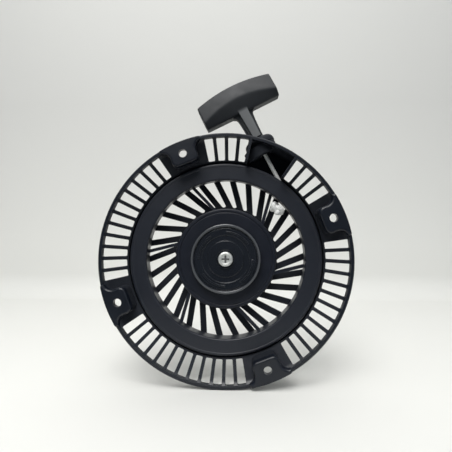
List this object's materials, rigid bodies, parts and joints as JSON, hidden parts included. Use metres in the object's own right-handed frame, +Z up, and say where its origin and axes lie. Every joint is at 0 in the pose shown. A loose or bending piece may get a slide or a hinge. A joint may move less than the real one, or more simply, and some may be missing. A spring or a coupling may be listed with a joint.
{
  "type": "recoil starter",
  "caption": "Round pull-cord starter: slotted plastic housing with bolt pads, rope pulley with swing-out pawls and spiral return spring, rope and T-shaped handle.",
  "frame": {"origin": "centre of the four mounting holes, on the mounting plane that meets the engine", "axes": "-Y points at the engine along the pulley's axis, +Y away from it to the outer face, +Z up with the rope outlet near the top, +X to the right seen from the engine"},
  "size_m": [0.2228, 0.0439, 0.2826],
  "materials": {
    "housing_plastic": "satin moulded black plastic",
    "pulley_plastic": "satin moulded black plastic",
    "retainer_plastic": "satin moulded black plastic",
    "grip_plastic": "fine-grained charcoal plastic",
    "zinc_steel": "bright zinc plate",
    "steel": "turned steel",
    "pawl_steel": "stamped steel",
    "spring_steel": "oiled spring steel",
    "brass": "knurled brass",
    "bronze": "sintered bronze",
    "rope": "braided off-white starter rope"
  },
  "bodies": {
    "housing": {"housing": "housing_plastic", "rope_guide": "housing_plastic", "post_insert": "brass", "retainer_collar": "steel", "centre_screw": "zinc_steel", "friction_spring": "spring_steel", "spring_anchor": "steel"},
    "pulley": {"pulley": "pulley_plastic", "pulley_bush": "bronze", "rope_coil": "rope", "pulley_knot": "rope", "pawl_pins": "steel", "pawl_spring_a": "spring_steel", "pawl_spring_b": "spring_steel", "recoil_spring": "spring_steel"},
    "retainer": {"retainer": "retainer_plastic"},
    "pawl_a": {"pawl_a": "pawl_steel"},
    "pawl_b": {"pawl_b": "pawl_steel"},
    "handle": {"grip": "grip_plastic", "grip_plug": "grip_plastic", "grip_washer": "steel", "grip_knot": "rope", "rope_line": "rope"}
  },
  "joints": [
    {"name": "pulley_spin", "type": "hinge", "parent": "housing", "child": "pulley", "pos_m": [0, 0.028, 0], "axis": [0, -1, 0], "range_deg": [0, 900], "stiffness_Nm_per_rad": 0.095, "springref_deg": -481.28},
    {"name": "handle_pull", "type": "slide", "parent": "housing", "child": "handle", "axis": [-0.4772, 0, 0.8788], "range_m": [0, 1.2096]},
    {"name": "retainer_turn", "type": "hinge", "parent": "pulley", "child": "retainer", "pos_m": [0, 0.022, 0], "axis": [0, 1, 0], "range_deg": [0, 45], "stiffness_Nm_per_rad": 0.02, "springref_deg": -28.65},
    {"name": "pawl_a_swing", "type": "hinge", "parent": "pulley", "child": "pawl_a", "pos_m": [0.026, 0.025, 0], "axis": [0, 1, 0], "range_deg": [0, 45]},
    {"name": "pawl_b_swing", "type": "hinge", "parent": "pulley", "child": "pawl_b", "pos_m": [-0.026, 0.025, 0], "axis": [0, 1, 0], "range_deg": [0, 45]}
  ],
  "couplings": [
    {"joint": "handle_pull", "follows": "pulley_spin", "m_per_rad": 0.077},
    {"joint": "pawl_a_swing", "follows": "retainer_turn", "ratio": 1},
    {"joint": "pawl_b_swing", "follows": "retainer_turn", "ratio": 1}
  ]
}
